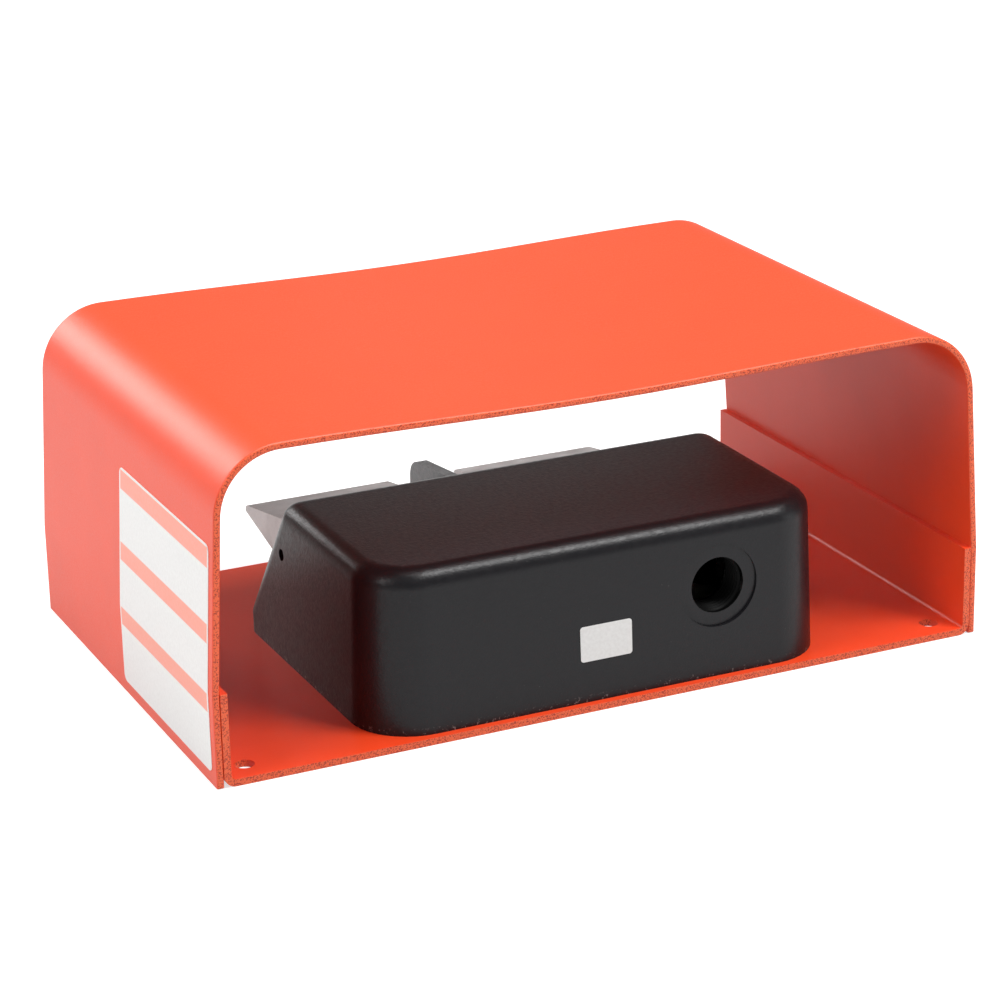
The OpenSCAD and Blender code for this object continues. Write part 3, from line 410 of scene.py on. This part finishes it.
def plated(name, colour, shade, metallic, rough, streak, depth=0.01 * MM):
    """Metal with cloudy colour and fine streaks; streak stretches the pattern's axes."""
    mat, tree, skin = start_finish(name)
    place = coords(tree)
    lines = noise(tree, coords(tree, streak), STREAK_SIZE, **FINE)
    cloud = noise(tree, place, METAL_CLOUD_SIZE, detail=3.0, rough=0.55)
    tone = blend_colours(tree, vary(tree, cloud, 0.0, 1.0), shade, colour)
    tree.links.new(tone, skin.inputs["Base Color"])
    skin.inputs["Metallic"].default_value = metallic
    streaked = vary(tree, lines, rough - ROUGHNESS_SPREAD, rough + ROUGHNESS_SPREAD)
    rough_now = maths(tree, "ADD", streaked, vary(tree, cloud, *CLOUD_ROUGHNESS))
    tree.links.new(rough_now, skin.inputs["Roughness"])
    raise_surface(tree, skin, lines, depth)
    return mat


# %% Make the mouldings and the gasket
SMOOTHER, ROUGHER = 0.05, 0.07


def moulded(name, colour, shade, rough, grain_size, depth, specular=0.45):
    """Plastic or rubber: a close grain in colour, roughness and height."""
    mat, tree, skin = start_finish(name)
    place = coords(tree)
    grain = noise(tree, place, grain_size, **FINE)
    tone = blend_colours(tree, vary(tree, grain, 0.0, 1.0), shade, colour)
    tree.links.new(tone, skin.inputs["Base Color"])
    rough_now = vary(tree, grain, rough - SMOOTHER, rough + ROUGHER)
    tree.links.new(rough_now, skin.inputs["Roughness"])
    skin.inputs["Specular IOR Level"].default_value = specular
    raise_surface(tree, skin, grain, depth)
    return mat


# %% [markdown]
# ## Blank labels
# Two sheets of film sit here, and neither has any text. The large one has three plain
# bands in a paler tone of the guard's colour, drawn by the height and the distance
# along the wall. The small one is only white.

# %% Make the label films
BORDER = 1.1 * MM
FILM, FILM_PALE = (0.80, 0.79, 0.775), (0.86, 0.855, 0.84)
FILM_GRAIN_SIZE, FILM_ROUGHNESS = 1.2 * MM, (0.30, 0.42)
FILM_WAVE_SIZE, FILM_WAVE_DEPTH = 14 * MM, 0.06 * MM
BAND_INK = (0.95, 0.31, 0.22)
BANDS = ((0.9, 7.6), (29.5, 7.2), (55.6, 7.2))


def band_mask(tree, value, low, high, soft=0.15 * MM):
    """1 between low and high, with a soft edge."""
    rise = remap(tree, value, low - soft, low + soft)
    fall = remap(tree, value, high - soft, high + soft, 1.0, 0.0)
    return maths(tree, "MULTIPLY", rise, fall)


def label_film(name, ink=None, field=None, bands=()):
    """White film with a faint grain; ink prints plain bands, each at a drop from the top
    edge and with a depth in millimetres, up to a white border at both ends."""
    mat, tree, skin = start_finish(name)
    place = coords(tree)
    grain = noise(tree, place, FILM_GRAIN_SIZE)
    colour = blend_colours(tree, vary(tree, grain, 0.0, 1.0), FILM, FILM_PALE)
    if ink:
        _, y, z = split(tree, place)
        (y0, z0), (y1, z1) = field
        inside, printed = band_mask(tree, y, y0 + BORDER, y1 - BORDER), None
        for drop, depth in bands:
            stripe = band_mask(tree, z, z1 - (drop + depth) * MM, z1 - drop * MM)
            printed = stripe if printed is None else maths(tree, "MAXIMUM", printed, stripe)
        colour = blend_colours(tree, maths(tree, "MULTIPLY", inside, printed), colour, ink)
    tree.links.new(colour, skin.inputs["Base Color"])
    tree.links.new(vary(tree, grain, *FILM_ROUGHNESS), skin.inputs["Roughness"])
    raise_surface(tree, skin, noise(tree, place, FILM_WAVE_SIZE), FILM_WAVE_DEPTH)
    return mat


# %% Choose the metals and mouldings
# Each metal has a name, a colour, a darker colour for its clouds, how metallic and how
# rough it is, and how its streaks stretch along X, Y and Z.
METALS = {
    "pedal_paint": ("treadle_plate", (0.42, 0.385, 0.375), (0.37, 0.337, 0.33), 0.60, 0.34,
                    (0.06, 1, 1)),
    "zinc_steel": ("zinc_plate", (0.66, 0.67, 0.69), (0.50, 0.51, 0.53), 0.95, 0.34,
                   (1, 1, 0.15)),
    "spring_steel": ("drawn_wire", (0.42, 0.43, 0.45), (0.28, 0.28, 0.30), 0.95, 0.33,
                     (1, 1, 1)),
    "bronze": ("bare_brass", (0.70, 0.46, 0.18), (0.52, 0.32, 0.12), 0.95, 0.32,
               (1, 0.2, 1)),
    "ground_green": ("green_zinc", (0.06, 0.30, 0.08), (0.04, 0.20, 0.05), 0.6, 0.38,
                     (1, 1, 0.3)),
}
# Each moulding has a name, a colour, a darker colour for its grain, how rough it is, and
# the grain's size and depth.
MOULDINGS = {
    "gasket_rubber": ("gasket_rubber", (0.02, 0.02, 0.02), (0.012, 0.012, 0.012), 0.75,
                      0.8 * MM, 0.03 * MM),
    "switch_moulding": ("switch_moulding", (0.06, 0.038, 0.026), (0.045, 0.028, 0.02), 0.38,
                        0.5 * MM, 0.01 * MM),
    "plunger_plastic": ("plunger_moulding", (0.40, 0.04, 0.02), (0.32, 0.03, 0.016), 0.35,
                        0.5 * MM, 0.008 * MM),
}
# Painted light: the fin has the housing's own black coat, and is made a lighter black for the
# grey its lit side shows.
FIN_LIGHTER_BLACK, FIN_SHEEN = (0.035, 0.034, 0.036), 0.5

# %% Give every solid its finish
label_low, label_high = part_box("guard_label")
finishes = {
    "guard_paint": guard_coat(),
    "housing_paint": casting_coat(),
    "label_film": label_film("label_film"),
}
finishes.update({key: plated(*values) for key, values in METALS.items()})
finishes.update({key: moulded(*values) for key, values in MOULDINGS.items()})
label_field = ((label_low[1], label_low[2]), (label_high[1], label_high[2]))
wall_label = label_film("wall_label_film", BAND_INK, label_field, BANDS)
fin_coat = casting_coat("fin_coat", FIN_LIGHTER_BLACK, FIN_SHEEN)
own_finish = {"guard_label": wall_label, "pedal_divider": fin_coat}
for entry in frame["record"]["subparts"]:
    finish = own_finish.get(entry["node"], finishes[entry["material_slot"]])
    for slot in nodes[entry["node"]].material_slots:
        slot.material = finish
print("finishes:", ", ".join(sorted(finishes)))

# %% [markdown]
# ## The return springs
# A compression spring is a wire wound into a helix. The solid has a six-sided wire, which
# is enough to weigh and measure it. Up close a wire is round, so the coil is wound again
# with sixteen sides. Its two end turns lie close, so that they press flat on their seats.

# %% Wind the springs
WIRE = 1.5 * MM
TURNS = 7
END_PITCH = 2.1 * MM


def coil_points(centre_x, centre_y, low, high, radius, steps=28, sides=16):
    """A tube along a helix. The axis climbs by the end pitch in the first and last turn
    and evenly between; each ring stands square to the wire's own direction."""
    turn = np.linspace(0, TURNS, TURNS * steps + 1)
    middle = (high - low - 2 * END_PITCH) / (TURNS - 2)
    climb = low + END_PITCH * np.clip(turn, 0, 1) + middle * np.clip(turn - 1, 0, TURNS - 2)
    climb = climb + END_PITCH * np.clip(turn - TURNS + 1, 0, 1)
    angle = 2 * np.pi * turn
    outward = np.stack([np.cos(angle), np.sin(angle), np.zeros_like(angle)], axis=1)
    path = np.array([centre_x, centre_y, 0]) + radius * outward
    path[:, 2] = climb
    ahead = np.gradient(path, axis=0)
    ahead /= np.linalg.norm(ahead, axis=1, keepdims=True)
    across = np.cross(outward, ahead)
    side = 2 * np.pi * np.arange(sides) / sides
    rings = (outward[:, None, :] * np.cos(side)[None, :, None]
             + across[:, None, :] * np.sin(side)[None, :, None])
    return path[:, None, :] + rings * WIRE / 2, sides


for hand in ("left", "right"):
    spring_node = f"{hand}_return_spring"
    low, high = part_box(spring_node)
    centre = [(low[k] + high[k]) / 2 for k in range(2)]
    outer = (high[0] - low[0]) / 2
    points, sides = coil_points(*centre, low[2] + WIRE / 2, high[2] - WIRE / 2, outer - WIRE / 2)
    faces = [list(f) for f in grid_faces(len(points), sides, close_cols=True)]
    last = (len(points) - 1) * sides
    faces += [list(range(sides))[::-1], [last + k for k in range(sides)]]
    spring = new_piece(f"{hand}_coil", points, faces)
    spring.data.materials.append(finishes["spring_steel"])
    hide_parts(spring_node)
    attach(spring, "guard_and_housing")
    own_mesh(spring)

# %% [markdown]
# ## The conduit entry's thread
# The entry is tapped for a pipe fitting. The solid has a plain bore at the thread's root,
# and the thread itself is one ridge that winds round its wall. It is a grid of steps
# along the winding by four profile points: root, the crest's two edges, root. Its roots
# sink a little into the wall, and it fades out at both ends.

# %% Cut the thread
ENTRY_FRONT, ENTRY_BACK = 80.2 * MM, 93.7 * MM
THREAD_PITCH = 1.81 * MM
THREAD_DEPTH = 0.75 * MM
ROOT_SINK = 0.03 * MM
CREST_SHARE = 0.08


def thread_points(steps_per_turn=60):
    """The ridge at an angle a: radius ENTRY_R plus ROOT_SINK at both roots and ENTRY_R
    minus the depth at the crest, shifted along the bore by a pitch a turn."""
    turns = (ENTRY_BACK - ENTRY_FRONT) / THREAD_PITCH - 1
    t = np.linspace(0, 1, int(turns * steps_per_turn))
    angle = 2 * np.pi * turns * t
    fade = np.clip(np.minimum(t, 1 - t) * turns * 2, 0, 1)
    profile = np.array([-0.5, -CREST_SHARE, CREST_SHARE, 0.5]) * THREAD_PITCH
    crest = np.array([-ROOT_SINK, THREAD_DEPTH, THREAD_DEPTH, -ROOT_SINK])
    radius = ENTRY_R - np.where(crest > 0, crest * fade[:, None], crest)
    along = ENTRY_FRONT + THREAD_PITCH / 2 + (turns * THREAD_PITCH * t)[:, None] + profile
    x = ENTRY_X + radius * np.cos(angle)[:, None]
    z = ENTRY_Z + radius * np.sin(angle)[:, None]
    return np.stack([x, along, z], axis=-1)


ridge = thread_points()
rows, sides = ridge.shape[:2]
faces = [list(f) for f in grid_faces(rows, sides, close_cols=True)]
last = (rows - 1) * sides
faces += [list(range(sides)), [last + k for k in range(sides)][::-1]]
thread = new_piece("entry_thread", ridge, faces, smooth=False)
# Painted shade: the thread is coloured near black with almost no sheen, for the shade deep in
# the bore.
THREAD_SHADE, THREAD_SHADE_DARK = (0.004, 0.004, 0.004), (0.0015, 0.0015, 0.0015)
thread_shade_finish = moulded("thread_painted_shade", THREAD_SHADE, THREAD_SHADE_DARK, 0.5, 0.6 * MM, 0.02 * MM, specular=0.08)
thread.data.materials.append(thread_shade_finish)
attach(thread, "guard_and_housing")

# %% [markdown]
# ## Floor, backdrop and light
# The object stands on a plain pale floor that keeps its soft shadow. The world is white
# to the camera, and much dimmer as a light and in the sheen of the coats.
# Six soft lamps stand where a studio's would: two above, one at each end, and two in
# front that shine in under the guard.

# %% Lay the floor
PAPER_ROUGHNESS, PAPER_SPECULAR = 0.9, 0.1


def floor_paper(shade, lift, lift_in_gloss):
    """Matt paper. To the camera and in the sheen of the coats it glows a little, which
    keeps the far floor pale and leaves the soft shadow under the guard."""
    mat, tree, skin = start_finish("floor_paper")
    skin.inputs["Base Color"].default_value = (shade, shade, shade, 1.0)
    skin.inputs["Roughness"].default_value = PAPER_ROUGHNESS
    skin.inputs["Specular IOR Level"].default_value = PAPER_SPECULAR
    skin.inputs["Emission Color"].default_value = (1.0, 1.0, 1.0, 1.0)
    rays = tree.nodes.new("ShaderNodeLightPath").outputs
    seen = maths(tree, "MULTIPLY", rays["Is Camera Ray"], lift)
    mirrored = maths(tree, "MULTIPLY", rays["Is Glossy Ray"], lift_in_gloss)
    tree.links.new(maths(tree, "MAXIMUM", seen, mirrored), skin.inputs["Emission Strength"])
    return mat


FLOOR_HALF = 6.0
FLOOR_GAP = 0.1 * MM
PAPER_SHADE, PAPER_LIFT, PAPER_LIFT_IN_GLOSS = 0.54, 0.66, 0.60
corners = np.array([[-1, -1, 0], [1, -1, 0], [1, 1, 0], [-1, 1, 0]]) * FLOOR_HALF
corners[:, 2] = cad_box[0][2] - FLOOR_GAP
floor = new_piece("floor", corners, [[0, 1, 2, 3]], smooth=False)
floor.data.materials.append(floor_paper(PAPER_SHADE, PAPER_LIFT, PAPER_LIFT_IN_GLOSS))

# %% Light the scene
world = bpy.data.worlds.new("studio")
scene.world = world
world.use_nodes = True
sky = world.node_tree
sky.nodes.clear()
SKY_LIGHT = 0.09
SKY_IN_GLOSS = 0.24


def background(strength):
    """A plain white background of one strength."""
    node = sky.nodes.new("ShaderNodeBackground")
    node.inputs["Color"].default_value = (1.0, 1.0, 1.0, 1.0)
    node.inputs["Strength"].default_value = strength
    return node.outputs["Background"]


rays = sky.nodes.new("ShaderNodeLightPath").outputs
bounced = maths(sky, "MAXIMUM", rays["Is Glossy Ray"], rays["Is Transmission Ray"])
mirrored = maths(sky, "MULTIPLY", bounced, SKY_IN_GLOSS)
choose = sky.nodes.new("ShaderNodeMixShader")
sky_out = sky.nodes.new("ShaderNodeOutputWorld")
sky.links.new(maths(sky, "MAXIMUM", rays["Is Camera Ray"], mirrored), choose.inputs[0])
sky.links.new(background(SKY_LIGHT), choose.inputs[1])
sky.links.new(background(1.0), choose.inputs[2])
sky.links.new(choose.outputs[0], sky_out.inputs["Surface"])


def soft_lamp(name, place, aim, size, power):
    """A square area lamp at a place, turned to shine at a point."""
    data = bpy.data.lights.new(name, "AREA")
    data.size = size
    data.energy = power
    lamp = bpy.data.objects.new(name, data)
    scene.collection.objects.link(lamp)
    lamp.location = place
    lamp.rotation_euler = (Vector(aim) - Vector(place)).to_track_quat("-Z", "Y").to_euler()


LAMPS = {
    # name: place, what it shines at, side of the square in metres, watts
    "overhead": ((-0.1, 0.0, 1.7), (0, 0, 0.05), 0.9, 22),
    "rear_top": ((-0.62, 0.68, 1.45), (0, 0.05, 0.05), 0.5, 19),
    "near_side": ((1.55, 0.25, 1.1), (0.1, 0, 0.08), 0.9, 16),
    "far_near_side": ((0.66, -1.5, 0.72), (0.1, 0, 0.08), 0.6, 10),
    "far_side": ((-1.5, 1.1, 0.35), (0.1, 0, 0.05), 0.6, 2.5),
    "front_low": ((-0.95, -2.2, 0.22), (0.0, -0.08, 0.04), 0.4, 0.6),
}
for lamp_name, settings in LAMPS.items():
    soft_lamp(lamp_name, *settings)
scene.view_settings.view_transform = "Standard"
